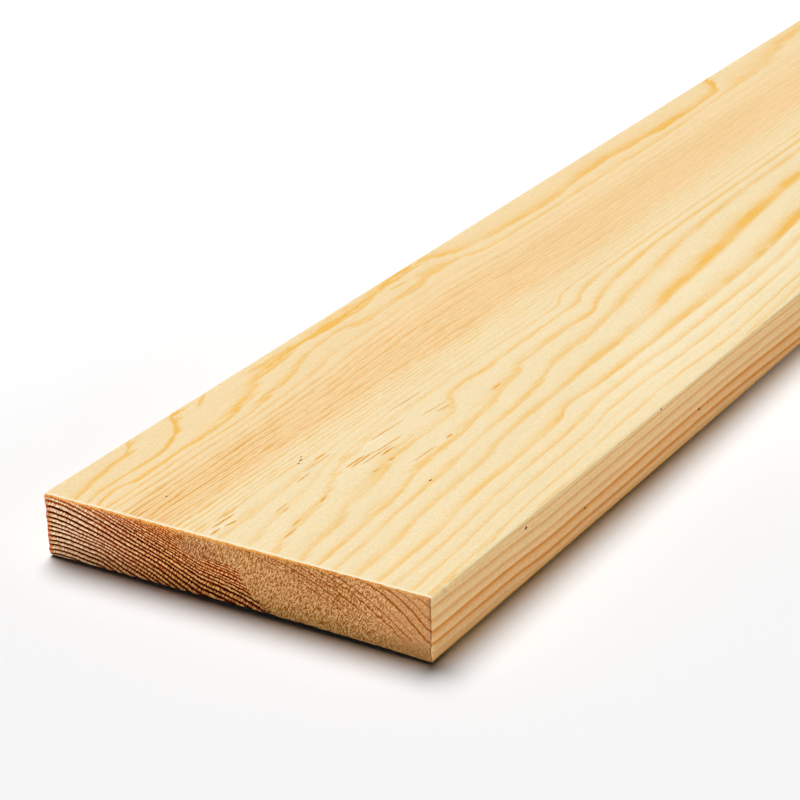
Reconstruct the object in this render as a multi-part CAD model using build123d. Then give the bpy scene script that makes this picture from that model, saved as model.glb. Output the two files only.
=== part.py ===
from build123d import *
import os

# Planed softwood plank lying flat on one wide face, with all sizes in millimetres.
# X runs across the width, Y along the length and Z up through the thickness.
# The origin is the centre of the underside.

# Finished section of a nominal 125 x 22 board once all four sides are planed
WIDTH = 119.0
THICKNESS = 18.0
# Length that the stock is sold in
LENGTH = 1800.0
# Rounding that the planer leaves on the four long edges
ARRIS_RADIUS = 0.5

OUTPUT_FOLDER = "parts"


def planed_section():
    """The finished section in the XZ plane, standing on Z = 0, with its four corners eased."""
    outline = RectangleRounded(WIDTH, THICKNESS, ARRIS_RADIUS)
    return Plane.XZ * Pos(0, THICKNESS / 2) * outline


def plank():
    """The section run along the grain and cross-cut square, so both ends keep sharp saw-cut edges."""
    return extrude(planed_section(), amount=LENGTH / 2, both=True)


os.makedirs(OUTPUT_FOLDER, exist_ok=True)
export_step(plank(), os.path.join(OUTPUT_FOLDER, "plank.step"))
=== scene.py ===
import math

import bpy
import numpy as np
from mathutils import Matrix, Vector


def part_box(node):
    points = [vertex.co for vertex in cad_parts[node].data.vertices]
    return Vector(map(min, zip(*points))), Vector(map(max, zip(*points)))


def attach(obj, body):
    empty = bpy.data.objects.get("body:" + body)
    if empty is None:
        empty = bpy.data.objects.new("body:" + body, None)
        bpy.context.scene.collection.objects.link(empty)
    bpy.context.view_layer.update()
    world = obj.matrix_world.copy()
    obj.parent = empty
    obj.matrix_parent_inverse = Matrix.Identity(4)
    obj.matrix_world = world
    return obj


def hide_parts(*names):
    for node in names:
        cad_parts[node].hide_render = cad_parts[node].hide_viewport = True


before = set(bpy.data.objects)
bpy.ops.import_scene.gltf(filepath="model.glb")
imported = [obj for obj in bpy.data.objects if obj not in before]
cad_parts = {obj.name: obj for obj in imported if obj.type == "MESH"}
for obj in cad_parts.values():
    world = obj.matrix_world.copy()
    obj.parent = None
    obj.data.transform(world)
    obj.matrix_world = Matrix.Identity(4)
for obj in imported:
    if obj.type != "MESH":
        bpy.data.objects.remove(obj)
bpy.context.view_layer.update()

LOW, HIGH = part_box("plank")

# The plank's sizes in millimetres, from its part in model.glb. Places on it are also in millimetres: u from
# the left edge, v from the near end, and depth below the upper face or z above the underside.
MM = 0.001
WIDTH = (HIGH.x - LOW.x) / MM
LENGTH = (HIGH.y - LOW.y) / MM
THICKNESS = (HIGH.z - LOW.z) / MM
# Rounding of the four long edges
ARRIS = 0.5

# Camera: its eye in millimetres from the floor under the middle of the near end, and its azimuth, elevation
# and roll in degrees
EYE = (343.5, -457.1, 315.5)
CAMERA_TURN = (32.47, 24.48, 1.93)
CAMERA_LENS = 114.86
CAMERA_SENSOR = 36.0
CAMERA_CLIP = (0.01, 100)

# Light: lamps as (name, strength, width of the source, heading of its rays, elevation), in degrees
SKY = 0.01
WHITE = (1, 1, 1, 1)
LAMPS = (
    ("key_softbox", 3.46, 36, 135, 63),
    ("fill_softbox", 1.74, 1.4, -36, 0.75),
)
LAMP_DISTANCE = 2.0
# Floor: half its side in metres, its grey, the painted light added for the camera away from the near end,
# the middle of the greyer part from the middle of that end, its inner and outer reach, and the gap under the
# board
FLOOR_SIZE = 30.0
FLOOR_GREY = 0.925
FLOOR_LIFT = 0.12
FLOOR_MIDDLE = (60, -20)
FLOOR_REACH = (110, 330)
FLOOR_GAP = 0.65


def linear(red, green, blue):
    """A colour in 0 to 255 screen values, as the linear values that shader sockets take."""
    values = [channel / 255 for channel in (red, green, blue)]
    return [c / 12.92 if c <= 0.04045 else ((c + 0.055) / 1.055) ** 2.4 for c in values] + [1.0]


# Colours of the planed faces and the marks on them, with painted highlights on their corners, edges and torn
# grain, and a painted glow low on the narrow edges
SAP_EARLY = linear(248, 227, 183)
SAP_PALE = linear(250, 233, 193)
SAP_LATE = linear(247, 194, 98)
HEART_EARLY = linear(249, 216, 162)
HEART_LATE = linear(236, 172, 84)
EDGE_EARLY = linear(247, 210, 153)
EDGE_INNER = linear(247, 201, 142)
EDGE_LATE = linear(224, 138, 48)
EDGE_LOW_GLOW = linear(255, 176, 66)
EDGE_CORNER_HIGHLIGHT = linear(255, 226, 156)
TORN_DARK = linear(230, 158, 14)
LIFTED_FIBRE_HIGHLIGHT = linear(254, 238, 204)
SPECK = linear(104, 54, 12)
PAINTED_HIGHLIGHT = linear(255, 241, 206)
# Colours of the sawn ends
END_CREAM = linear(255, 235, 186)
END_HEART_EARLY = linear(246, 202, 126)
END_AMBER = linear(186, 60, 2)
END_DARK_RING_AND_GAP_SHADE = linear(34, 0, 0)
END_SAP_PALE = linear(237, 188, 129)
END_SAP_DARK = linear(158, 86, 12)
END_SAP_LATE = linear(152, 72, 8)
END_HOLE = linear(92, 40, 8)
END_BARE_PALE = linear(234, 178, 120)
END_BARE_DARK = linear(112, 42, 4)
END_GLOW = linear(252, 176, 82)
END_RIM = linear(222, 98, 20)


class Graph:
    """Short names for the nodes of a material. A value is a number, a colour or a socket."""

    def __init__(self, name):
        self.material = bpy.data.materials.new(name)
        self.material.use_nodes = True
        self.tree = self.material.node_tree
        self.tree.nodes.clear()

    def node(self, kind, **settings):
        made = self.tree.nodes.new(kind)
        for key, value in settings.items():
            setattr(made, key, value)
        return made

    def feed(self, socket, value):
        if isinstance(value, bpy.types.NodeSocket):
            self.tree.links.new(value, socket)
        else:
            socket.default_value = value

    def math(self, operation, *values):
        made = self.node("ShaderNodeMath", operation=operation)
        for socket, value in zip(made.inputs, values):
            self.feed(socket, value)
        return made.outputs[0]

    def chain(self, operation, first, *others):
        for other in others:
            first = self.math(operation, first, other)
        return first

    def add(self, *values):
        return self.chain("ADD", *values)

    def minus(self, a, b):
        return self.math("SUBTRACT", a, b)

    def times(self, *values):
        return self.chain("MULTIPLY", *values)

    def highest(self, *values):
        return self.chain("MAXIMUM", *values)

    def ramp(self, value, start, end, low=0.0, high=1.0, smooth=True):
        """The value moved from start..end to low..high, and held there outside it."""
        made = self.node("ShaderNodeMapRange", clamp=True)
        made.interpolation_type = "SMOOTHSTEP" if smooth else "LINEAR"
        names = ("Value", "From Min", "From Max", "To Min", "To Max")
        for name, number in zip(names, (value, start, end, low, high)):
            self.feed(made.inputs[name], number)
        return made.outputs["Result"]

    def curve(self, value, points, straight=False, run_on=False):
        """The curve through these points at the value, level or running on past its ends."""
        made = self.node("ShaderNodeFloatCurve")
        mapping = made.mapping
        mapping.use_clip = False
        mapping.extend = "EXTRAPOLATED" if run_on else "HORIZONTAL"
        line = mapping.curves[0].points
        line[0].location = points[0]
        line[1].location = points[-1]
        for x, y in points[1:-1]:
            line.new(x, y)
        for point in line:
            point.handle_type = "VECTOR" if straight else "AUTO_CLAMPED"
        mapping.update()
        self.feed(made.inputs["Value"], value)
        return made.outputs[0]

    def vector(self, x, y, z):
        made = self.node("ShaderNodeCombineXYZ")
        for socket, value in zip(made.inputs, (x, y, z)):
            self.feed(socket, value)
        return made.outputs[0]

    def split(self, vector):
        made = self.node("ShaderNodeSeparateXYZ")
        self.feed(made.inputs[0], vector)
        return made.outputs["X"], made.outputs["Y"], made.outputs["Z"]

    def noise(self, place, across, along, detail=2.0):
        """Noise from 0 to 1 whose grains are this many millimetres across and along the board."""
        grains = (across, along, across)
        where = self.vector(*(self.times(part, 1 / grain) for part, grain in zip(place, grains)))
        made = self.node("ShaderNodeTexNoise")
        self.feed(made.inputs["Vector"], where)
        self.feed(made.inputs["Scale"], 1.0)
        self.feed(made.inputs["Detail"], detail)
        return made.outputs["Fac"]

    def centred(self, noise):
        return self.minus(noise, 0.5)

    def swing(self, place, across, along, size, detail=2.0):
        """Noise from about -size to +size."""
        return self.times(self.centred(self.noise(place, across, along, detail)), 2 * size)

    def mix(self, share, a, b, how="MIX"):
        made = self.node("ShaderNodeMix", data_type="RGBA", blend_type=how, clamp_factor=True)
        for socket, value in ((made.inputs[0], share), (made.inputs[6], a), (made.inputs[7], b)):
            self.feed(socket, value)
        return made.outputs[2]

    def shaded(self, colour, light, depth=1.0):
        """The colour made lighter or darker, its blue more so where depth is over 1."""
        return self.mix(1.0, colour, self.vector(light, light, self.math("POWER", light, depth)), "MULTIPLY")

    def surface(self, shader):
        output = self.node("ShaderNodeOutputMaterial")
        self.feed(output.inputs["Surface"], shader.outputs[0])


# Below, a range is (start, end) or (start, end, value at start, value at end), a grain is (across, along) or
# (across, along, size), and rows of pairs are the points of a curve.

# How far a face turns to an axis, for a sawn end, a narrow edge, the top, the underside and an upper arris
END_FACING = (0.55, 0.8)
EDGE_FACING = (0.75, 0.97)
TOP_FACING = (0.6, 0.9)
UNDER_FACING = (-0.6, -0.9)
ARRIS_START = (0.2, 0.6)
ARRIS_STOP = (0.97, 0.8)
ARRIS_DEPTH = (3, 1)


def wood_place(g):
    """The place of a point, and how far it is on an end, an edge, the top, the underside or an arris."""
    where = g.node("ShaderNodeTexCoord")
    x, y, z = g.split(where.outputs["Object"])
    u = g.add(g.times(x, 1 / MM), WIDTH / 2)
    v = g.add(g.times(y, 1 / MM), LENGTH / 2)
    depth = g.minus(THICKNESS, g.times(z, 1 / MM))
    sideways, endways, upwards = g.split(where.outputs["Normal"])
    end = g.ramp(g.math("ABSOLUTE", endways), *END_FACING)
    aside = g.math("ABSOLUTE", sideways)
    edge = g.ramp(aside, *EDGE_FACING)
    corner = g.times(g.ramp(aside, *ARRIS_START), g.ramp(aside, *ARRIS_STOP))
    arris = g.times(corner, g.minus(1.0, end), g.ramp(depth, *ARRIS_DEPTH))
    top = g.ramp(upwards, *TOP_FACING)
    under = g.ramp(upwards, *UNDER_FACING)
    return (u, v, depth), end, edge, top, under, arris


# Distance across the growth rings, in millimetres, of each dark line, from ring FIRST_RING outwards
FIRST_RING = -12
RING_DISTANCES = (
    -17.5, -16.3, -14.8, -13.6, -12.1, -10.5, -9.3, -8.0, -6.6, -5.0, -3.3, -1.6, -0.4,
    1.2, 2.2, 3.3, 3.9, 4.7, 5.8, 6.4, 7.1, 7.8, 8.4, 9.0, 9.65, 10.1, 10.7, 11.35, 11.9, 12.4, 12.8,
    13.5, 14.3, 15.0, 15.9, 16.9, 18.2, 20.0, 22.9, 25.3, 28.7, 30.1, 31.6,
)
# Lines of some rings on the upper face as (v, u). A line leaves the board where its u is below 0, and runs
# straight on past its last point.
RING_LINES = {
    1: ((0, 10), (20, 6), (30, 5), (36, 0), (45, -8), (55, -15), (90, -20)),
    2: ((0, 14), (10, 12.6), (30, 13), (40, 11.5), (48, 8), (55, 1.5), (65, -4), (90, -10)),
    3: ((0, 18), (10, 16), (20, 17.5), (60, 17), (70, 14.5), (80, 12), (89, 7.5), (110, 6), (140, 5.8),
        (160, 4), (175, 1.5), (186, 1), (195, 5.5), (205, 8.8), (230, 11.8), (258, 12.4), (280, 10),
        (310, 9.8), (350, 12), (388, 10.5), (398, 5), (404, -1), (420, -5), (450, -4), (470, 0)),
    4: ((0, 20), (65, 19.6), (80, 18), (95, 15.6), (104, 12.6), (120, 9.8), (128, 10), (140, 13),
        (168, 13), (180, 11.3), (192, 11.3), (205, 14.6), (225, 16), (330, 16.3), (400, 14), (470, 14)),
    5: ((0, 22.5), (60, 22.3), (100, 20), (117, 17), (132, 18), (160, 17), (190, 17.3), (220, 19.5),
        (330, 19.6), (470, 18.5)),
    6: ((0, 26), (40, 25.5), (100, 24), (122, 22.1), (180, 20.5), (208, 22.8), (300, 23.6), (470, 23)),
    9: ((0, 32.5), (60, 32), (100, 31.6), (140, 29.7), (165, 29.8), (208, 31.5), (300, 31.8), (470, 32)),
    13: ((0, 40.5), (60, 41.3), (100, 42.8), (150, 44), (200, 45), (260, 46), (400, 45.2), (470, 46)),
    18: ((0, 50), (60, 49.5), (120, 50), (200, 51.3), (300, 52), (470, 52.5)),
    21: ((0, 73), (10, 70.5), (20, 68.5), (34, 66.3), (45, 62), (60, 57.5), (110, 56.5), (145, 57.4),
         (174, 58.4), (184, 54.8), (200, 54), (300, 54.5), (470, 55.5)),
    22: ((0, 81), (12, 79), (26, 77.4), (31, 74.6), (48, 73.5), (63, 70.3), (80, 69.7), (92, 70),
         (99, 66.6), (104, 62.7), (120, 62), (181, 62.5), (187, 60), (198, 58), (215, 57.2), (470, 58.5)),
    23: ((0, 86), (20, 84.5), (45, 83), (63, 79), (80, 79), (95, 77), (108, 75.5), (117, 73), (127, 72),
         (132, 69.6), (150, 69), (175, 70), (184, 67.3), (196, 65), (222, 62), (245, 61), (470, 62)),
    24: ((0, 91), (20, 89.5), (62, 86), (105, 83), (121, 81.5), (137, 77.6), (157, 77.4), (180, 75.6),
         (197, 73), (210, 72), (240, 68), (265, 66.2), (300, 65), (470, 66.5)),
    25: ((0, 97.5), (22, 96.3), (38, 94), (74, 92.2), (83, 90), (130, 88.3), (190, 86), (204, 84.3),
         (240, 82), (285, 78), (330, 75.5), (400, 74), (470, 76)),
    26: ((0, 103.7), (30, 103), (46, 101), (85, 99.4), (103, 98.2), (115, 95.3), (130, 96.6),
         (200, 96.3), (240, 95.5), (285, 92), (330, 90), (470, 90)),
    27: ((0, 108), (26, 107.5), (66, 105), (108, 103.5), (120, 102), (150, 101.5), (165, 102.6),
         (240, 102), (265, 100), (330, 98.5), (470, 99)),
    28: ((0, 113.5), (30, 112), (46, 110.6), (100, 109), (117, 107.4), (132, 107.4), (170, 108.5),
         (245, 107), (330, 105.5), (470, 107)),
    30: ((0, 117.6), (30, 116.4), (60, 115.3), (100, 114.5), (140, 113.6), (180, 114.8), (230, 113),
         (330, 112), (470, 113.5)),
}
# Dark wood of the inner rings: its width at the near end, further on, how far on, and its start in the ring
NARROW_LINES = {1: (3.0, 1.4, 25), 2: (1.6, 1.4, 25), 3: (1.5, 4.5, 90)}
NARROW_START = 0.6
# Ring distance lost left of the first of those lines, and gained for each millimetre past the last
LEFT_OF_LINES = ((-30, -0.3), (-7, -0.38), (-5, -0.43), (-3, -0.33), (0, 0))
RIGHT_SLOPE = 0.35


def traced_lines(g, v):
    """The ring distances of the traced lines, and the u of each line at v on the upper face."""
    traced = {ring: (RING_DISTANCES[ring - FIRST_RING], line) for ring, line in RING_LINES.items()}
    # The inner rings stay narrow lines where those inside them have left the board
    for ring, (width, later_width, reach) in NARROW_LINES.items():
        inner, outer = (RING_DISTANCES[number - FIRST_RING] for number in (ring - 1, ring))
        start = []
        for along, across in RING_LINES[ring]:
            start.append((along, across - width - (later_width - width) * min(along / reach, 1)))
        traced[ring - 1 + NARROW_START] = (inner + NARROW_START * (outer - inner), start)
    rings = sorted(traced)
    return [traced[ring][0] for ring in rings], [g.curve(v, traced[ring][1]) for ring in rings]


def face_distance(g, across, distances, lines):
    """Ring distance on the upper face at this u, from the traced lines on both sides of it."""
    total = g.add(
        distances[0],
        g.curve(g.minus(across, lines[0]), LEFT_OF_LINES),
        g.times(g.highest(g.minus(across, lines[-1]), 0.0), RIGHT_SLOPE),
    )
    for inner, outer, near, far in zip(lines, lines[1:], distances, distances[1:]):
        total = g.add(total, g.ramp(across, inner, outer, 0.0, far - near, smooth=False))
    return total


# At the near end the rings on the right fan out with depth from a place past the right edge: its u, the
# fan's size and growth with depth, and the ring distance lost at the right edge
FAN_PIVOT = 140.2
FAN_SIZE = 0.0233
FAN_GROWTH = ((0, 0), (1.5, 5.2), (4.8, 11.3), (8, 15.4), (11.5, 19.4), (13.4, 21.4), (16, 24),
              (THICKNESS, 26))
FAN_EDGE = (WIDTH - 1.7, WIDTH - 0.2, 0.0, -0.6)
# Where the fan takes over: by u, by u and depth just under the upper face, and by v
FAN_REACH = (66, 84)
SHALLOW_REACH = (50, 60)
SHALLOW_DEPTH = (6, 3)
FAN_ALONG = (45, 10)


def fanned_distance(g, place, distances, lines):
    """Ring distance where the rings fan out, and how far the fan counts there."""
    u, v, depth = place
    opened = g.minus(1.0, g.times(g.curve(depth, FAN_GROWTH), FAN_SIZE))
    from_pivot = g.math("DIVIDE", g.minus(FAN_PIVOT, u), opened)
    fanned = face_distance(g, g.minus(FAN_PIVOT, from_pivot), distances, lines)
    shallow = g.times(g.ramp(u, *SHALLOW_REACH), g.ramp(depth, *SHALLOW_DEPTH))
    share = g.times(g.highest(g.ramp(u, *FAN_REACH), shallow), g.ramp(v, *FAN_ALONG))
    return g.add(fanned, g.ramp(u, *FAN_EDGE)), share


# Slow wander of the rings, which grows along the board
WANDER = (34, 170, 1.7)
WANDER_ALONG = (330, 620, 0.1, 1.0)
# Fibres are not quite parallel to the board, so the lines feather, by ring distance and by v
FEATHER = (2.0, 24, 0.42)
FINE_FEATHER = (0.6, 7, 0.24)
FEATHER_RINGS = ((-1, 0.3), (1, 0.7), (3, 0.8), (5, 0.75), (12, 0.7), (14.5, 0.7), (19, 0.8))
FEATHER_ALONG = (120, 240, 1.0, 0.6)
# Ripple of the close lines in the heartwood, by ring distance
RIPPLE = (5, 22, 0.16)
RIPPLE_RINGS = ((3.5, 0), (5, 1), (11, 1), (13, 0.3))


def uneven_grain(g, place, distance):
    """The wander, the feathering and the ripple of the rings, each as ring distance."""
    v = place[1]
    wander = g.times(g.swing(place, *WANDER, detail=1.0), g.ramp(v, *WANDER_ALONG))
    feather = g.add(g.swing(place, *FEATHER, detail=3.0), g.swing(place, *FINE_FEATHER))
    calm = g.times(g.curve(distance, FEATHER_RINGS), g.ramp(v, *FEATHER_ALONG))
    ripple = g.times(g.swing(place, *RIPPLE), g.curve(distance, RIPPLE_RINGS))
    return wander, g.times(feather, calm), ripple


# Ring distance lost for each millimetre down, by u
LEAN = ((0, 1.0), (12, 0.97), (45, 0.95), (60, 0.9), (75, 0.75), (95, 0.64), (110, 0.88), (WIDTH, 0.95))
# Sag of the rings inside the board as ring distance by u, and how it grows with depth
RING_SAG = ((0, 0), (7, 0.85), (10, 1.2), (14, 1.65), (18, 2.1), (22, 1.9), (26, 1.6), (30, 1.6), (34, 1.4),
            (38, 1.05), (42, 0.55), (46, 0.2), (52, 0))
SAG_GROWTH = ((0, 0), (5, 0.17), (9, 0.47), (11.5, 0.97), (14, 1.24), (THICKNESS, 1.4))
# Squeeze of the rings by depth, on the right of the board
RIGHT_SQUEEZE = ((0, 0), (10, 0), (15, 0.8), (THICKNESS, 1.1))
SQUEEZE_REACH = (100, 112)
# Rise and fall of the lines along the right edge, by v
EDGE_WAVE = ((0, -0.45), (20, -0.48), (30, -0.49), (45, -0.12), (60, 0.26), (75, 0.05), (100, -0.23),
             (140, -0.72), (160, -0.51), (180, 0), (220, 0.35), (300, 0))
WAVE_REACH = (WIDTH - 5, WIDTH - 0.5)
# Drift of the rings past the traced lines
DRIFT = ((430, 0), (700, 1.5), (960, -1.0), (1250, 1.8), (1520, 0.2), (LENGTH, -0.9))


def ring_distance(g, place):
    """Distance across the growth rings, in millimetres, anywhere in the board."""
    u, v, depth = place
    distances, lines = traced_lines(g, v)
    leaning = g.minus(face_distance(g, u, distances, lines), g.times(depth, g.curve(u, LEAN)))
    sagging = g.minus(leaning, g.times(g.curve(u, RING_SAG), g.curve(depth, SAG_GROWTH)))
    squeeze = g.times(g.curve(depth, RIGHT_SQUEEZE), g.ramp(u, *SQUEEZE_REACH))
    wave = g.times(g.curve(v, EDGE_WAVE), g.ramp(u, *WAVE_REACH))
    plain = g.add(sagging, squeeze, wave)
    fanned, share = fanned_distance(g, place, distances, lines)
    joined = g.add(plain, g.times(share, g.minus(fanned, plain)))
    return g.add(joined, g.curve(v, DRIFT), *uneven_grain(g, place, sagging))


def ring_number(g, distance):
    points = [(far, FIRST_RING + index) for index, far in enumerate(RING_DISTANCES)]
    return g.curve(distance, points, straight=True, run_on=True)


# Darkness through a ring, from the line that ends the last one to the line that ends it
RING_PROFILE = ((0, 1), (0.05, 0.75), (0.12, 0.2), (0.22, 0), (0.6, 0.08), (0.82, 0.55), (0.94, 0.95),
                (1, 1))
# Patches where a line is weaker or stronger, and by how much
LINE_PATCHES = (0.8, 32)
LINE_STRENGTH = (0.28, 0.66, 0.45, 1.05)


def late_wood(g, number, v):
    """0 in the early wood to 1 at the line that ends a ring, and how that line comes and goes."""
    profile = g.curve(g.math("FRACT", number), RING_PROFILE)
    patches = g.noise((number, v, 0.0), *LINE_PATCHES, detail=3.0)
    return profile, g.ramp(patches, *LINE_STRENGTH)


def with_finer_lines(g, number, profile, strength):
    """The dark lines, with a finer one halfway between them in some rings."""
    halves = g.curve(g.math("FRACT", g.times(number, 2.0)), RING_PROFILE)
    return g.highest(profile, g.times(halves, g.curve(number, strength)))


# The last ring of the red heartwood, how far it reaches past that by depth, and its ragged border
HEART_RING = 13
HEART_EDGE = ((0, 0), (1, 3), (3, 8), (5, 13), (7, 19), (8, 22), (10, 22.5), (14, 26), (THICKNESS, 31))
HEART_RAGGED = (1.6, 40, 2.2)


def heart_wood(g, place):
    """How far inside the heartwood a point is, in millimetres, below 0 in the sapwood."""
    u, v, depth = place
    border = g.add(g.curve(v, RING_LINES[HEART_RING]), g.curve(depth, HEART_EDGE, straight=True))
    return g.add(g.minus(border, u), g.swing(place, *HEART_RAGGED))


# Strength of the dark lines on the upper face by ring number, and of finer lines between them
FACE_LINES = ((-13, 0.7), (0, 0.7), (1, 1.0), (2, 1.3), (3, 1.15), (4, 0.95), (5, 0.7), (6, 0.85), (7, 0.8),
              (8, 0.95), (9, 1.0), (10, 0.85), (13, 0.95), (14, 0.95), (18, 0.85), (19, 0.4), (20, 0.35),
              (21, 0.62), (22, 0.75), (23, 0.75), (24, 0.7), (25, 0.76), (26, 0.82), (27, 0.64), (28, 0.66),
              (29, 0.12), (30, 0.64), (33, 0.6))
FINE_LINES = ((6.8, 0), (7.6, 0.75), (13, 0.75), (13.8, 0))
# How the lines of the heartwood fade along the board, and which rings do
FADE_ALONG = ((0, 1.4), (30, 1.22), (60, 1.0), (100, 0.75), (150, 0.58), (200, 0.45), (300, 0.28))
FADING_RINGS = ((3.4, 0), (5, 1), (12.5, 1), (14, 0.5), (18, 0.5), (20, 0))
# Lines that grow bolder along the board, as their gain by ring number and the range of v
BOLDER_LINES = (
    (((24.3, 0), (25, 0.4), (25.3, 0.1), (25.5, 0)), (140, 210)),
    (((25.3, 0), (26, 0.3), (26.8, 0)), (90, 150)),
)
# A line that is fainter for some way, by ring number and by v
FAINTER_RING = ((2.2, 0), (2.7, 1), (3.3, 1), (3.6, 0))
FAINTER_ALONG = ((195, 0), (212, -0.35), (262, -0.35), (285, 0))
# Sharpness of the lines by v, and what the fading ones add to it
LINE_SHARPNESS = (130, 230, 1.0, 0.65)
FADING_SHARPNESS = (20, 160, 0.5, -0.05)


def face_lines(g, v, number, profile, patches):
    fading_rings = g.curve(number, FADING_RINGS)
    fading = g.add(1.0, g.times(fading_rings, g.minus(g.curve(v, FADE_ALONG), 1.0)))
    bolder = [g.times(g.curve(number, gain), g.ramp(v, *reach)) for gain, reach in BOLDER_LINES]
    fainter = g.times(g.curve(number, FAINTER_RING), g.curve(v, FAINTER_ALONG))
    strength = g.add(fading, *bolder, fainter)
    sharpness = g.add(g.ramp(v, *LINE_SHARPNESS), g.times(fading_rings, g.ramp(v, *FADING_SHARPNESS)))
    lines = g.math("POWER", with_finer_lines(g, number, profile, FINE_LINES), sharpness)
    return g.times(lines, patches, g.curve(number, FACE_LINES), strength)


# Tint of the heartwood by ring distance, its soft border, and the rings whose dark lines have it
HEART_TINT = ((-20, 0.6), (0, 0.5), (2.5, 0.42), (4, 0.46), (5.5, 0.62), (7, 1.0), (12, 1.0))
HEART_BORDER = (-4.5, 4.0)
TINTED_LINES = (3.4, 5.5)
# The paler part of the sapwood on the right, between its two sides and by v
PALE_START = (72, 100)
PALE_STOP = (WIDTH - 2, WIDTH - 11)
PALE_ALONG = (90, 170)


def face_colour(g, place, heart, distance, face_line):
    u, v, _ = place
    tint = g.times(g.curve(distance, HEART_TINT), g.ramp(heart, *HEART_BORDER))
    late_tint = g.times(tint, g.ramp(distance, *TINTED_LINES))
    right = g.times(g.ramp(u, *PALE_START), g.ramp(u, *PALE_STOP))
    sapwood = g.mix(g.times(right, g.ramp(v, *PALE_ALONG)), SAP_EARLY, SAP_PALE)
    return g.mix(face_line, g.mix(tint, sapwood, HEART_EARLY), g.mix(late_tint, SAP_LATE, HEART_LATE))


# Strength of the dark lines on the narrow edges by ring number, and their sharpness
EDGE_LINES = ((-13, 0.8), (20, 0.8), (23, 0.8), (24, 0.3), (25, 1.0), (26, 0.95), (27, 0.55), (28, 0.55),
              (29, 0.12), (30, 0.5), (33, 0.5))
EDGE_SHARPNESS = 0.56
# Darker inner rings by number, a painted glow of reflected light on the lower corner by depth, shade by v,
# and a painted highlight on the upper corner by depth
EDGE_INNER_RINGS = (26.1, 25.6)
EDGE_LOW_GLOW_DEPTH = (16.7, 17.4, 0, 0.7)
EDGE_SHADE = (0, 60, 0.955, 0.98)
EDGE_CORNER_HIGHLIGHT_DEPTH = (1.4, 0.3, 0, 0.75)


def edge_colour(g, place, number, edge_line):
    _, v, depth = place
    early = g.mix(g.ramp(number, *EDGE_INNER_RINGS), EDGE_EARLY, EDGE_INNER)
    colour = g.mix(edge_line, early, EDGE_LATE)
    # Painted glow of reflected light on the lower corner of the narrow edge
    colour = g.mix(g.ramp(depth, *EDGE_LOW_GLOW_DEPTH), colour, EDGE_LOW_GLOW)
    colour = g.shaded(colour, g.ramp(v, *EDGE_SHADE))
    # Painted highlight on the upper corner of the narrow edge
    return g.mix(g.ramp(depth, *EDGE_CORNER_HIGHLIGHT_DEPTH), colour, EDGE_CORNER_HIGHLIGHT)


# Light and dark: streaks, clouds, and flecks with their share on a wide face and on an edge
STREAKS = (0.32, 8)
STREAK_LIGHT = 0.22
CLOUDS = (12, 90)
CLOUD_LIGHT = 0.08
FLECKS = (0.5, 1.6)
FLECK_LIGHT = (0, 1, 0.2, 0.3)


def planed_colour(g, place, edge, heart, distance, number, profile, patches):
    """Colour of the planed faces, the strength of their dark lines and their fine streaks."""
    face_line = face_lines(g, place[1], number, profile, patches)
    edge_line = g.times(g.math("POWER", profile, EDGE_SHARPNESS), g.curve(number, EDGE_LINES))
    line = g.add(g.times(face_line, g.minus(1.0, edge)), g.times(edge_line, edge))
    wide = face_colour(g, place, heart, distance, face_line)
    colour = g.mix(edge, wide, edge_colour(g, place, number, edge_line))
    streaks = g.noise(place, *STREAKS, detail=3.0)
    streaky = g.times(g.centred(streaks), STREAK_LIGHT)
    cloudy = g.times(g.centred(g.noise(place, *CLOUDS)), CLOUD_LIGHT)
    flecks = g.times(g.centred(g.noise(place, *FLECKS, detail=1.0)), g.ramp(edge, *FLECK_LIGHT))
    light = g.add(1.0, streaky, cloudy, flecks)
    return g.shaded(colour, light, depth=1.8), line, streaks


def patch(g, along, across, half_length, half_width, soft=0.5):
    """1 inside an oval patch and 0 outside it."""
    far = g.add(g.math("POWER", g.times(along, 1 / half_length), 2.0),
                g.math("POWER", g.times(across, 1 / half_width), 2.0))
    return g.ramp(far, 1.0, soft)


def stroke(g, place, ends, half_width, soft):
    """1 along a stroke on the upper face, with ends given as (start v, start u, end v, end u)."""
    u, v, _ = place
    start, first_u, end, last_u = ends
    along = g.minus(v, (start + end) / 2)
    slope = (last_u - first_u) / (end - start)
    aside = g.minus(g.minus(u, (first_u + last_u) / 2), g.times(along, slope))
    return patch(g, along, aside, (end - start) / 2, half_width, soft)


# Loose bits of dark line by the left edge, as (start v, start u, end v, end u, half width, strength)
LOOSE_STROKES = (
    (62, 4.8, 73, 0.3, 1.1, 0.7), (85, 8.4, 113, 6.0, 1.1, 0.75), (88, 2.7, 101, 4.2, 0.9, 0.7),
    (138, 7.0, 157, 4.8, 1.1, 0.7), (161, 6.1, 173, 6.9, 0.8, 0.8), (140, 1.5, 150, 3.0, 0.8, 0.4),
)


def loose_strokes(g, place, top, colour):
    drawn = []
    for *ends, half_width, force in LOOSE_STROKES:
        drawn.append(g.times(stroke(g, place, ends, half_width, soft=0.1), force))
    return g.mix(g.times(g.highest(*drawn), top), colour, SAP_LATE)


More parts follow.
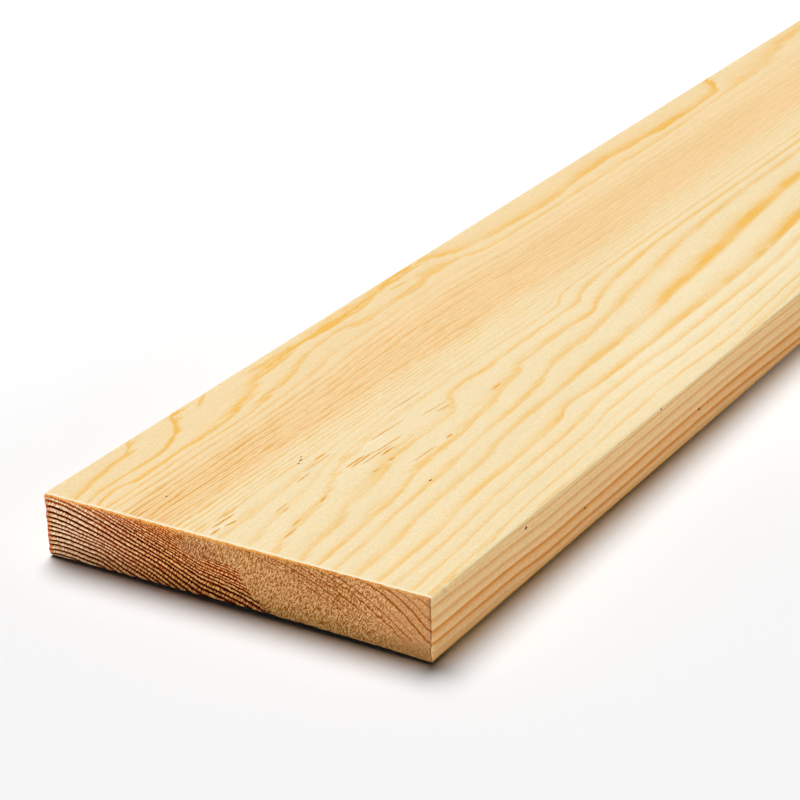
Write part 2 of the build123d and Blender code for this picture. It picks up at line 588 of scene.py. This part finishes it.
# Torn fibres: dark dashes as (start v, start u, end v, end u, strength), their half width and their fraying
TORN_DASHES = (
    (3.5, 51, 15.5, 51.6, 1), (0.8, 53, 6.5, 52.9, 1), (6.5, 53.2, 12, 54.3, 1),
    (9, 49.7, 16, 48.9, 0.5), (11, 50.1, 19, 49.7, 0.5), (49.5, 62.3, 60, 62.6, 1),
    (50, 63.5, 64, 63.5, 0.9), (52, 64.9, 70, 65.6, 0.7), (60, 63.9, 76, 64.9, 0.7),
    (60.5, 66.6, 68.5, 66.8, 1), (65, 58.9, 85, 60.1, 0.7), (83, 53.5, 104, 54.5, 0.6),
    (49.5, 52.3, 56, 52.6, 0.8), (42, 53.8, 57, 54, 0.5), (36, 55.7, 44, 55.4, 0.7),
    (61, 76.2, 75, 76.7, 0.7), (78.5, 76.5, 82.5, 76.6, 1), (87, 62.8, 101, 64.3, 0.5),
    (92, 65.4, 98.5, 66.1, 0.7), (19, 60.4, 26, 60.2, 0.5), (20, 62, 24.5, 61.8, 0.5),
    (51, 70, 55, 70.3, 0.7), (59, 70.1, 62.5, 70.5, 1), (8.5, 70.4, 15.5, 70.2, 0.7),
    (15, 68.6, 20.5, 68, 0.7), (29.5, 67.6, 34.5, 66.7, 0.8), (112, 71.5, 118, 71.6, 0.8),
)
DASH_WIDTH = 0.44
DASH_FRAY = (0.3, 2.6)
FRAY_FORCE = (0.36, 0.54, 0.6, 1.0)
# Painted highlights between them, where the lifted fibres catch the light, as (v, u, half length, half
# width), their stripes and their share
HIGHLIGHT_PATCHES = ((9, 52, 9, 2.2), (60, 64.2, 12, 2.4), (72, 59.8, 12, 1.0), (70, 76.8, 12, 0.9),
                (92, 54.3, 12, 1.0))
STRIPES = (0.5, 12)
STRIPE_FORCE = (0.44, 0.6)
HIGHLIGHT_SHARE = 0.8


def torn_fibres(g, place, top, colour):
    """Short dark dashes where the planer lifted the grain, with painted highlights between them where the
    lifted fibres catch the light.
    """
    u, v, _ = place
    stripes = g.ramp(g.noise((u, v, 0.0), *STRIPES, detail=1.0), *STRIPE_FORCE)
    # Painted highlights where the lifted fibres catch the light
    painted_glints = []
    for along, across, half_length, half_width in HIGHLIGHT_PATCHES:
        painted_glints.append(patch(g, g.minus(v, along), g.minus(u, across), half_length, half_width, soft=0.2))
    colour = g.mix(g.times(g.highest(*painted_glints), stripes, top, HIGHLIGHT_SHARE), colour, LIFTED_FIBRE_HIGHLIGHT)
    dashes = []
    for *ends, force in TORN_DASHES:
        dashes.append(g.times(stroke(g, place, ends, DASH_WIDTH, soft=0.4), force))
    frayed = g.ramp(g.noise((u, v, 0.0), *DASH_FRAY, detail=1.0), *FRAY_FORCE)
    return g.mix(g.times(g.highest(*dashes), frayed, top), colour, TORN_DARK)


# Dark specks as (v, u, depth, half length, half width)
SPECKS = (
    (54.6, 86, 0, 0.8, 0.25), (48.6, 49, 0, 0.9, 0.26), (46.7, 49.7, 0, 0.7, 0.2),
    (50.3, 48, 0, 0.6, 0.18), (13.9, 30, 0, 0.5, 0.25), (46.9, WIDTH, 2.5, 0.75, 0.45),
    (79, WIDTH, 11.2, 0.6, 0.4), (148.6, WIDTH, 10.6, 0.8, 0.45), (124, WIDTH, 0.6, 0.4, 0.5),
)


def dark_specks(g, place, colour):
    u, v, depth = place
    marks = []
    for along, across, down, half_length, half_width in SPECKS:
        aside = g.highest(g.math("ABSOLUTE", g.minus(u, across)), g.math("ABSOLUTE", g.minus(depth, down)))
        marks.append(patch(g, g.minus(v, along), aside, half_length, half_width))
    return g.mix(g.highest(*marks), colour, SPECK)


# Share of the painted highlight on the arrises, and along the near upper edge by v
ARRIS_HIGHLIGHT = 0.7
NEAR_EDGE_HIGHLIGHT = (1.5, 0.5, 0.0, 0.8)
# Height of the torn lower edge at the ends, by u, and its reach along the board, which is also the reach of
# the painted shade on the underside
TORN_LIFT = ((0, 0), (4, 0.08), (10, 0.18), (25, 0.3), (45, 0.45), (70, 0.65), (80, 0.7), (95, 0.5),
             (106, 0.4), (111, 0.25), (114.5, 0.08), (116.5, 0))
TORN_EDGE_AND_SHADE_REACH = 9.0


def edge_highlight_and_gap_shade(g, v, top, under, arris, colour):
    """A painted highlight along the upper corners and the near upper edge, and painted shade on the
    underside near the ends, under the torn lower edge.
    """
    # Painted highlights on the arrises and along the near upper edge
    colour = g.mix(g.times(arris, ARRIS_HIGHLIGHT), colour, PAINTED_HIGHLIGHT)
    colour = g.mix(g.times(g.ramp(v, *NEAR_EDGE_HIGHLIGHT), top), colour, PAINTED_HIGHLIGHT)
    # Painted shade: the underside near each end takes the darkest ring colour, to darken the gap under the
    # torn lower edge
    from_end = g.math("MINIMUM", v, g.minus(LENGTH, v))
    torn = g.times(g.ramp(from_end, TORN_EDGE_AND_SHADE_REACH, TORN_EDGE_AND_SHADE_REACH / 2), under)
    return g.mix(torn, colour, END_DARK_RING_AND_GAP_SHADE)


# Rays of the end grain, as the cosine and sine of their turn, their stretch and their grain, and dots
RAY_TURN = (0.88, 0.47)
RAY_STRETCH = 0.3
RAYS = (0.42, 1.0)
DOTS = (0.4, 0.4)
# Grit of the sapwood, weaker on the right, and weave of the heartwood by rays and by dots
GRIT = 1.6
GRIT_REACH = (98, 110, 1.0, 0.3)
WEAVE_RAYS = (0.36, 0.64, -0.5, 0.5)
WEAVE_DOTS = 0.8


def saw_grit(g, place):
    """The dots of the end grain, the grit of its sapwood and the weave of its heartwood."""
    u, _, depth = place
    cosine, sine = RAY_TURN
    slant = g.add(g.times(u, cosine), g.times(depth, sine))
    upright = g.minus(g.times(depth, cosine), g.times(u, sine))
    rays = g.noise((slant, 0.0, g.times(upright, RAY_STRETCH)), *RAYS, detail=1.0)
    dots = g.noise(place, *DOTS, detail=1.0)
    grit = g.add(g.times(g.centred(rays), GRIT), g.times(g.centred(dots), GRIT))
    grit = g.times(grit, g.ramp(u, *GRIT_REACH))
    weave = g.add(g.ramp(rays, *WEAVE_RAYS), g.times(g.centred(dots), WEAVE_DOTS))
    return dots, grit, weave


# Strength of the lines in the ends' sapwood by ring number, and of finer lines between them, how far grit
# breaks them up, and the darkness from which they show
END_SAP_LINES = ((14, 0.2), (18, 0.5), (20, 0.95), (23.2, 0.95), (24, 0.45), (25, 0.95), (26, 0.95),
                 (27, 0.6), (30, 0.7))
END_FINE_LINES = ((18, 0), (18.6, 0.9), (22, 0.9), (22.3, 0))
SAP_BREAK = 0.22
SAP_LINE_START = (0.42, 0.85)
# Where the lines are lost: by depth and ring number, and in the lower right corner by u and depth
LOST_DEPTH = (7.5, 11.5)
LOST_RINGS = (22.0, 21.4)
LOST_SHARE = 0.8
CORNER_REACH = (104, 113)
CORNER_DEPTH = (11.5, 14.5)
CORNER_FORCE = (0, 1, 1.0, 0.3)
# Stipple by the grit, small dark pits by depth and u, and the light by u
STIPPLE = (-0.35, 0.35)
PITS = (0.55, 0.55)
PIT_START = (0.67, 0.75)
PIT_DEPTH = (5, 13)
PIT_REACH = (98, 106, 0.7, 0.0)
SAP_LIGHT = (88, 108, 1.0, 1.1)


def end_sapwood(g, place, number, profile, grit):
    u, _, depth = place
    lines = with_finer_lines(g, number, profile, END_FINE_LINES)
    broken = g.minus(lines, g.times(grit, SAP_BREAK))
    lost = g.times(g.ramp(depth, *LOST_DEPTH), g.ramp(number, *LOST_RINGS), LOST_SHARE)
    force = g.times(g.curve(number, END_SAP_LINES), g.minus(1.0, lost))
    corner = g.times(g.ramp(u, *CORNER_REACH), g.ramp(depth, *CORNER_DEPTH))
    force = g.times(force, g.ramp(corner, *CORNER_FORCE))
    stipple = g.mix(g.ramp(grit, *STIPPLE), END_SAP_DARK, END_SAP_PALE)
    colour = g.mix(g.times(g.ramp(broken, *SAP_LINE_START), force), stipple, END_SAP_LATE)
    pits = g.ramp(g.noise(place, *PITS, detail=0.0), *PIT_START)
    pits = g.times(pits, g.ramp(depth, *PIT_DEPTH), g.ramp(u, *PIT_REACH))
    return g.shaded(g.mix(pits, colour, END_HOLE), g.ramp(u, *SAP_LIGHT), depth=1.6)


# Strength of the dark rings in the ends' heartwood by ring number, and patches along them
END_LINES = ((-13, 1), (2, 1), (3, 0.9), (4, 0.6), (5, 1), (6, 0.5), (7, 1), (8, 0.5), (9, 1), (10, 0.5),
             (11, 1), (12, 0.5), (13, 1), (14, 0.7), (15, 1), (16, 0.7), (17, 1))
END_PATCHES = (0.9, 14)
PATCH_FORCE = (0.3, 0.6, 0.8, 1.0)
# How far the weave breaks the rings up by u, and where their cream turns to tan
HEART_BREAK = (8, 30, 0.13, 0.2)
CREAM_REACH = (8, 40)
# Darkness from which a ring turns amber and at which it is, by u, and the same for its dark core
AMBER_START = (4, 25, -0.14, -0.2)
AMBER_FULL = (4, 25, 0.3, 0.24)
CORE_START = (15, 45, 0.2, 0.08)
CORE_FULL = (15, 45, 0.46, 0.28)
# Redder cores just under the upper face, and the light with what the weave adds to it
RED_CORE_DEPTH = (4.0, 0.8, 0.0, 0.5)
HEART_LIGHT = 0.98
WEAVE_LIGHT = 0.38


def end_heartwood(g, place, number, profile, weave):
    u, _, depth = place
    broken = g.minus(profile, g.times(weave, g.ramp(u, *HEART_BREAK)))
    patches = g.ramp(g.noise((number, u, 0.0), *END_PATCHES, detail=1.0), *PATCH_FORCE)
    force = g.times(patches, g.curve(number, END_LINES, straight=True))
    ground = g.mix(g.ramp(u, *CREAM_REACH), END_CREAM, END_HEART_EARLY)
    amber = g.ramp(broken, g.ramp(u, *AMBER_START), g.ramp(u, *AMBER_FULL))
    core = g.ramp(broken, g.ramp(u, *CORE_START), g.ramp(u, *CORE_FULL))
    core_colour = g.mix(g.ramp(depth, *RED_CORE_DEPTH), END_DARK_RING_AND_GAP_SHADE, END_RIM)
    rings = g.mix(g.times(core, force), g.mix(amber, ground, END_AMBER), core_colour)
    return g.shaded(rings, g.add(HEART_LIGHT, g.times(weave, WEAVE_LIGHT)), depth=1.3)


# A patch without rings as (u, depth, half width, half height), its share and its mottle by the grit
BARE_PATCH = (50, 4.5, 9, 3.8)
BARE_SHARE = 0.6
BARE_MOTTLE = (-0.4, 0.4)


def bare_patch(g, place, grit, colour):
    u, _, depth = place
    middle, down, half_width, half_height = BARE_PATCH
    bare = patch(g, g.minus(u, middle), g.minus(depth, down), half_width, half_height, soft=0.1)
    mottle = g.mix(g.ramp(grit, *BARE_MOTTLE), END_BARE_DARK, END_BARE_PALE)
    return g.mix(g.times(bare, BARE_SHARE), colour, mottle)


# Red painted glow of light through the thin left rim and dark rim on the right by u, and splinters low on
# the right by u and depth
LEFT_RIM_GLOW = (1.9, 0.2, 0.0, 0.6)
RIGHT_RIM = (WIDTH - 0.9, WIDTH - 0.4, 0.0, 0.45)
SPLINTER_REACH = (WIDTH - 2.2, WIDTH - 1.0)
SPLINTER_DEPTH = (11, 13)
SPLINTER_SHARE = 0.35
SPLINTERS = (0.6, 0.6)
SPLINTER_START = (0.42, 0.58)


def end_rims(g, place, colour):
    u, _, depth = place
    # Painted glow of light through the thin left rim
    colour = g.mix(g.ramp(u, *LEFT_RIM_GLOW), colour, END_RIM)
    colour = g.mix(g.ramp(u, *RIGHT_RIM), colour, END_HOLE)
    share = g.times(g.ramp(u, *SPLINTER_REACH), g.ramp(depth, *SPLINTER_DEPTH), SPLINTER_SHARE)
    torn = g.ramp(g.noise(place, *SPLINTERS), *SPLINTER_START)
    return g.mix(share, colour, g.mix(torn, END_HOLE, END_SAP_PALE))


# Light through the thin upper edge of the cut: its fraying, depth, share by u, and redder patches
GLOW_FRAY = (0.7, 1.0)
FRAY_HEIGHT = 1.4
GLOW_DEPTH = (1.15, 0.25)
GLOW_SHARE = ((0, 0.95), (70, 1.0), (90, 0.6), (WIDTH, 0.5))
GLOW_PATCHES = (1.7, 1.0)
GLOW_RED = (0.52, 0.66, 0.0, 0.8)


def glowing_edge(g, place, colour):
    u, _, depth = place
    fray = g.noise((u, 0.0, 0.0), *GLOW_FRAY)
    height = g.add(depth, g.times(g.centred(fray), FRAY_HEIGHT))
    lit = g.times(g.ramp(height, *GLOW_DEPTH), g.curve(u, GLOW_SHARE))
    glow = g.mix(g.ramp(g.noise((u, 0.0, 0.0), *GLOW_PATCHES), *GLOW_RED), END_GLOW, END_RIM)
    return g.mix(lit, colour, glow)


# Ragged border of the heartwood on the sawn ends, and how soft it is by depth
BORDER_RAGGED = (2.2, 2.2, 3.2)
BORDER_SOFT = (5, 9, 3.5, 0.75)
# Shade towards the floor by depth, less of it on the left by u
LOW_SHADE = (10.5, 17.5, 0.0, 0.33)
SHADE_REACH = (2, 20, 0.4, 1.0)


def sawn_colour(g, place, heart, number, profile):
    """End grain: dark rings in the heartwood, faint ones in the sapwood, fine rays and dots."""
    u, _, depth = place
    dots, grit, weave = saw_grit(g, place)
    sapwood = end_sapwood(g, place, number, profile, grit)
    heartwood = end_heartwood(g, place, number, profile, weave)
    soft = g.ramp(depth, *BORDER_SOFT)
    border = g.add(heart, g.swing(place, *BORDER_RAGGED, detail=3.0))
    colour = g.mix(g.ramp(border, g.times(soft, -1.0), soft), sapwood, heartwood)
    colour = bare_patch(g, place, grit, colour)
    low = g.times(g.ramp(depth, *LOW_SHADE), g.ramp(u, *SHADE_REACH))
    colour = g.shaded(colour, g.minus(1.0, low), depth=1.5)
    colour = end_rims(g, place, colour)
    return glowing_edge(g, place, colour), dots


# Relief: strength, height in millimetres, and shares of the streaks and the dark lines
RELIEF_STRENGTH = 0.5
RELIEF_HEIGHT = 0.1
STREAK_RELIEF = 0.35
LINE_RELIEF = 0.2
# Roughness by the strength of the dark lines, what sawn ends add, and the faint shine
PLANED_ROUGHNESS = (0, 1, 0.6, 0.5)
SAWN_ROUGHNESS = 0.25
SHINE = 0.02


def relief(g, end, line, streaks, dots):
    """Streaks and lines that stand out on the planed faces, and dots on the sawn ends."""
    bump = g.node("ShaderNodeBump")
    g.feed(bump.inputs["Strength"], RELIEF_STRENGTH)
    g.feed(bump.inputs["Distance"], RELIEF_HEIGHT * MM)
    planed = g.add(g.times(streaks, STREAK_RELIEF), g.times(line, LINE_RELIEF))
    g.feed(bump.inputs["Height"], g.add(g.times(planed, g.minus(1.0, end)), g.times(dots, end)))
    return bump.outputs[0]


def pine_material():
    g = Graph("pine")
    place, end, edge, top, under, arris = wood_place(g)
    v = place[1]
    distance = ring_distance(g, place)
    number = ring_number(g, distance)
    profile, patches = late_wood(g, number, v)
    heart = heart_wood(g, place)
    planed, line, streaks = planed_colour(g, place, edge, heart, distance, number, profile, patches)
    planed = loose_strokes(g, place, top, planed)
    planed = torn_fibres(g, place, top, planed)
    planed = dark_specks(g, place, planed)
    planed = edge_highlight_and_gap_shade(g, v, top, under, arris, planed)
    sawn, dots = sawn_colour(g, place, heart, number, profile)
    shader = g.node("ShaderNodeBsdfPrincipled")
    g.feed(shader.inputs["Base Color"], g.mix(end, planed, sawn))
    roughness = g.add(g.ramp(line, *PLANED_ROUGHNESS), g.times(end, SAWN_ROUGHNESS))
    g.feed(shader.inputs["Roughness"], roughness)
    g.feed(shader.inputs["Specular IOR Level"], SHINE)
    g.feed(shader.inputs["Normal"], relief(g, end, line, streaks, dots))
    g.surface(shader)
    return g.material


# Mesh: rows of points round the section, close together near the ends. A side runs between the middles of
# two corner arcs, and rows away from the ends keep one point in COARSE.
ARC_STEPS = 2
HALF_ARC = math.radians(45)
WIDE_STEPS = 316
NARROW_STEPS = 48
COARSE = 4
END_ROWS = (0, 0.15, 0.35, 0.7, 1.2, 2, 3, 4.2, 5.2, 5.8, 6.4, 7, 7.6, 8.2, 9, 10.5)
MIDDLE_ROWS = 150
# Degrees between two faces from which their edge is sharp
SHARP_EDGE = 50
# Bands of the UV picture that each face is laid out in, as (lowest, height)
BANDS = {"bottom": (0.005, 0.22), "right": (0.235, 0.07), "top": (0.315, 0.36), "left": (0.685, 0.07),
         "near": (0.765, 0.11), "far": (0.885, 0.11)}


def side_run(length, steps):
    """Places along a side of the section and their depths inside it, between two corner middles."""
    start = []
    for index in range(ARC_STEPS):
        turn = HALF_ARC * (1 - index / ARC_STEPS)
        start.append((ARRIS * (1 - math.sin(turn)), ARRIS * (1 - math.cos(turn))))
    flat = [(ARRIS + (length - 2 * ARRIS) * index / steps, 0.0) for index in range(steps + 1)]
    finish = [(length - along, inside) for along, inside in reversed(start)]
    return start + flat + finish


def kept_in_middle(steps):
    """Which of a side's points the rows along the middle of the board keep."""
    flat = range(ARC_STEPS, ARC_STEPS + steps + 1)
    return [index not in flat or (index - ARC_STEPS) % COARSE == 0 for index in range(steps + 2 * ARC_STEPS)]


def section_loop():
    """The section as (u, z), the side that each point starts on, and the points kept in the middle."""
    wide = side_run(WIDTH, WIDE_STEPS)
    narrow = side_run(THICKNESS, NARROW_STEPS)
    sides = (
        ("bottom", wide, WIDE_STEPS),
        ("right", [(WIDTH - b, a) for a, b in narrow], NARROW_STEPS),
        ("top", [(WIDTH - a, THICKNESS - b) for a, b in wide], WIDE_STEPS),
        ("left", [(b, THICKNESS - a) for a, b in narrow], NARROW_STEPS),
    )
    points, names, kept = [], [], []
    for name, side, steps in sides:
        points += side[:-1]
        names += [name] * (len(side) - 1)
        kept += kept_in_middle(steps)
    return np.array(points), names, [index for index, keep in enumerate(kept) if keep]


def board_rows():
    """Every row along the board as (v, fine), from the near end to the far end."""
    near = [(gap, True) for gap in END_ROWS]
    first, last = END_ROWS[-1], LENGTH - END_ROWS[-1]
    middle = [(first + (last - first) * index / MIDDLE_ROWS, False) for index in range(1, MIDDLE_ROWS)]
    return near + middle + [(LENGTH - gap, True) for gap in reversed(END_ROWS)]


def skin_between(lower, upper, faces, names, side_names):
    """Faces between two rows of point numbers, which hold None where a row has no point."""
    count = len(lower)
    marks = [index for index in range(count) if lower[index] is not None and upper[index] is not None]
    for start, stop in zip(marks, marks[1:] + [count]):
        span = [index % count for index in range(start, stop + 1)]
        below = [lower[index] for index in span if lower[index] is not None]
        above = [upper[index] for index in span if upper[index] is not None]
        faces.append(below[::-1] + above)
        names.append(side_names[start])


def end_cap(points, row, v, faces, names, name):
    """A grid over one sawn end, with the row's own points as its border."""
    wide, narrow = WIDE_STEPS + 2 * ARC_STEPS, NARROW_STEPS + 2 * ARC_STEPS
    grid = np.zeros((wide + 1, narrow + 1), int)
    count = len(row)
    for i in range(wide + 1):
        grid[i, 0] = row[i]
        grid[i, narrow] = row[(2 * wide + narrow - i) % count]
    for j in range(narrow + 1):
        grid[wide, j] = row[wide + j]
        grid[0, j] = row[(2 * wide + 2 * narrow - j) % count]
    for i in range(1, wide):
        for j in range(1, narrow):
            grid[i, j] = len(points)
            points.append((points[grid[i, 0]][0], v, points[grid[wide, j]][2]))
    for i in range(wide):
        for j in range(narrow):
            quad = [grid[i, j], grid[i + 1, j], grid[i + 1, j + 1], grid[i, j + 1]]
            faces.append(quad if name == "near" else quad[::-1])
            names.append(name)


def board_mesh():
    """Points in millimetres as (u, v, z), faces, and the name of the band that each face is in."""
    loop, side_names, kept = section_loop()
    points, faces, names, rows = [], [], [], []
    for v, fine in board_rows():
        row = [None] * len(loop)
        for index in range(len(loop)) if fine else kept:
            row[index] = len(points)
            points.append((loop[index][0], v, loop[index][1]))
        rows.append(row)
    for lower, upper in zip(rows, rows[1:]):
        skin_between(lower, upper, faces, names, side_names)
    end_cap(points, rows[0], 0.0, faces, names, "near")
    end_cap(points, rows[-1], LENGTH, faces, names, "far")
    return np.array(points), faces, names


# Size of the lattice that roughness is drawn from
LATTICE = 256


def rough(a, b, height, cell, seed):
    """Smooth random values from 0 to height over a plane, with bumps this many millimetres apart."""
    lattice = np.random.default_rng(seed).random((LATTICE, LATTICE))
    whole_a, whole_b = np.floor(a / cell).astype(int), np.floor(b / cell).astype(int)
    part_a, part_b = a / cell - whole_a, b / cell - whole_b
    part_a, part_b = part_a * part_a * (3 - 2 * part_a), part_b * part_b * (3 - 2 * part_b)

    def pick(step_a, step_b):
        return lattice[(whole_a + step_a) % LATTICE, (whole_b + step_b) % LATTICE]

    low = pick(0, 0) * (1 - part_a) + pick(1, 0) * part_a
    high = pick(0, 1) * (1 - part_a) + pick(1, 1) * part_a
    return height * (low * (1 - part_b) + high * part_b)


def falling(value, reach):
    """1 at zero, down to 0 at reach."""
    return np.clip(1 - value / reach, 0, 1)


# Wear in millimetres, with roughness as (height, distance between bumps, seed): the cut, its torn lower edge
# and its teeth on the left, chips on the right and burr at the top, with their reach along the board
CUT_LEAST = 0.02
CUT_COARSE = (0.1, 0.8, 1)
CUT_FINE = (0.07, 0.37, 2)
TORN_LEAST = 0.75
TORN_BUMPS = (0.5, 1.1, 3)
LEFT_TEETH = (0.5, 0.7, 4)
TEETH_REACH = 0.8
CHIP_LEAST = 0.1
RIGHT_CHIPS = (0.45, 0.9, 5)
CHIP_REACH = 1.2
UPPER_BURR = (0.16, 0.7, 6)
BURR_REACH = 0.6
# Height at which the chips grow smaller, how soon, what is left of them above, and their foot
CHIP_TOP = 7
CHIP_FADE = 1.5
CHIP_SHARE = 0.25
CHIP_FOOT = 1.0
# Dent in the upper right edge: its v, half length and reach round the corner, and its depths
DENT_V = 7.2
DENT_LENGTH = 1.7
DENT_REACH = 2.2
DENT_SIDEWAYS = 0.7
DENT_DOWN = 0.5
# How far inside the board the wear of a corner ends
WEAR_REACH = 3


def saw_wear(points):
    """Points moved inwards by what the saw left: a rough cut, torn edges and ragged corners."""
    u, v, z = points.T.copy()
    level = np.zeros_like(u)
    far = v > LENGTH / 2
    gap = np.where(far, LENGTH - v, v)
    place = v * far
    cut = CUT_LEAST + rough(u + place, z, *CUT_COARSE) + rough(u + place, z, *CUT_FINE)
    cut = np.where(gap == 0, cut, 0)
    lift = np.interp(u, *zip(*TORN_LIFT))
    torn = lift * (TORN_LEAST + rough(u + place, level, *TORN_BUMPS)) * falling(gap, TORN_EDGE_AND_SHADE_REACH)
    teeth = rough(z + place, level, *LEFT_TEETH) * falling(gap, TEETH_REACH)
    chips = (CHIP_LEAST + rough(z + place, level, *RIGHT_CHIPS)) * falling(gap, CHIP_REACH)
    chips = chips * np.clip((CHIP_TOP - z) / CHIP_FADE, CHIP_SHARE, 1) * np.clip(z / CHIP_FOOT, 0, 1)
    burr = rough(u + place, level, *UPPER_BURR) * falling(gap, BURR_REACH)
    dent = falling(abs(v - DENT_V), DENT_LENGTH) * falling(WIDTH - u + THICKNESS - z, DENT_REACH)
    left, right = falling(u, WEAR_REACH), falling(WIDTH - u, WEAR_REACH)
    lower, upper = falling(z, WEAR_REACH), falling(THICKNESS - z, WEAR_REACH)
    moved_u = u + teeth * left - chips * right - DENT_SIDEWAYS * dent
    moved_v = v + np.where(far, -cut, cut)
    moved_z = z + torn * lower - burr * upper - DENT_DOWN * dent
    return np.stack((moved_u, moved_v, moved_z), 1)


def band_place(name, point):
    """Where a point of a face goes in the UV picture."""
    u, v, z = point
    low, height = BANDS[name]
    if name in ("near", "far"):
        return u / WIDTH, low + height * z / THICKNESS
    across = u / WIDTH if name in ("top", "bottom") else z / THICKNESS
    return v / LENGTH, low + height * across


def add_object(name, data):
    made = bpy.data.objects.new(name, data)
    bpy.context.scene.collection.objects.link(made)
    return made


def add_plank():
    points, faces, names = board_mesh()
    worn = saw_wear(points)
    mesh = bpy.data.meshes.new("sawn_plank")
    corner = np.array((LOW.x, LOW.y, LOW.z))
    mesh.from_pydata((corner + MM * worn).tolist(), [], faces)
    layer = mesh.uv_layers.new(name="OFBake")
    places = [band_place(name, points[number]) for face, name in zip(faces, names) for number in face]
    layer.data.foreach_set("uv", np.clip(np.array(places), 0, 1).ravel())
    mesh.shade_smooth()
    mesh.set_sharp_from_angle(angle=math.radians(SHARP_EDGE))
    mesh.materials.append(pine_material())
    plank = add_object("sawn_plank", mesh)
    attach(plank, "root")
    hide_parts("plank")


def floor_material():
    """A matt grey floor, with painted light added for the camera away from the near end."""
    g = Graph("studio_floor")
    x, y, _ = g.split(g.node("ShaderNodeTexCoord").outputs["Object"])
    across = g.minus(x, FLOOR_MIDDLE[0] * MM)
    along = g.minus(y, LOW.y + FLOOR_MIDDLE[1] * MM)
    away = g.math("SQRT", g.add(g.times(across, across), g.times(along, along)))
    inner, outer = (reach * MM for reach in FLOOR_REACH)
    shader = g.node("ShaderNodeBsdfDiffuse")
    g.feed(shader.inputs["Color"], (FLOOR_GREY, FLOOR_GREY, FLOOR_GREY, 1.0))
    seen = g.node("ShaderNodeLightPath").outputs["Is Camera Ray"]
    # Painted light for the camera, growing away from the near end
    lift = g.node("ShaderNodeEmission")
    g.feed(lift.inputs["Strength"], g.times(g.ramp(away, inner, outer, 0, FLOOR_LIFT), seen))
    both = g.node("ShaderNodeAddShader")
    g.feed(both.inputs[0], shader.outputs[0])
    g.feed(both.inputs[1], lift.outputs[0])
    g.surface(both)
    return g.material


def add_floor():
    gap = FLOOR_GAP * MM
    corners = [(x * FLOOR_SIZE, y * FLOOR_SIZE, -gap) for x, y in ((-1, -1), (1, -1), (1, 1), (-1, 1))]
    mesh = bpy.data.meshes.new("studio_floor")
    mesh.from_pydata(corners, [], [(0, 1, 2, 3)])
    mesh.materials.append(floor_material())
    floor = add_object("studio_floor", mesh)


def downwards(heading, tilt):
    """The direction at a heading from +Y towards +X and this far below the horizon."""
    level = math.cos(tilt)
    return Vector((math.sin(heading) * level, math.cos(heading) * level, -math.sin(tilt)))


def add_lights():
    world = bpy.data.worlds.new("studio")
    bpy.context.scene.world = world
    world.use_nodes = True
    background = world.node_tree.nodes["Background"]
    background.inputs["Color"].default_value = WHITE
    background.inputs["Strength"].default_value = SKY
    for name, strength, width, heading, elevation in LAMPS:
        lamp = bpy.data.lights.new(name, "SUN")
        lamp.energy = strength
        lamp.angle = math.radians(width)
        rays = downwards(math.radians(heading), math.radians(elevation))
        softbox = add_object(name, lamp)
        softbox.rotation_euler = rays.to_track_quat("-Z", "Y").to_euler()
        softbox.location = -LAMP_DISTANCE * rays


def add_camera():
    data = bpy.data.cameras.new("photo_camera")
    data.lens = CAMERA_LENS
    data.sensor_width = CAMERA_SENSOR
    data.clip_start, data.clip_end = CAMERA_CLIP
    camera = add_object("photo_camera", data)
    azimuth, elevation, roll = (math.radians(angle) for angle in CAMERA_TURN)
    back = -downwards(-azimuth, elevation)
    level = Vector((0, 0, 1)).cross(back).normalized()
    upright = back.cross(level)
    right = math.cos(roll) * level - math.sin(roll) * upright
    up = math.cos(roll) * upright + math.sin(roll) * level
    turn = Matrix((right, up, back)).transposed()
    near_end = Vector((0, LOW.y, LOW.z))
    camera.matrix_world = Matrix.Translation(near_end + MM * Vector(EYE)) @ turn.to_4x4()
    bpy.context.scene.camera = camera


add_plank()
add_floor()
add_lights()
add_camera()
bpy.context.scene.view_settings.view_transform = "Standard"
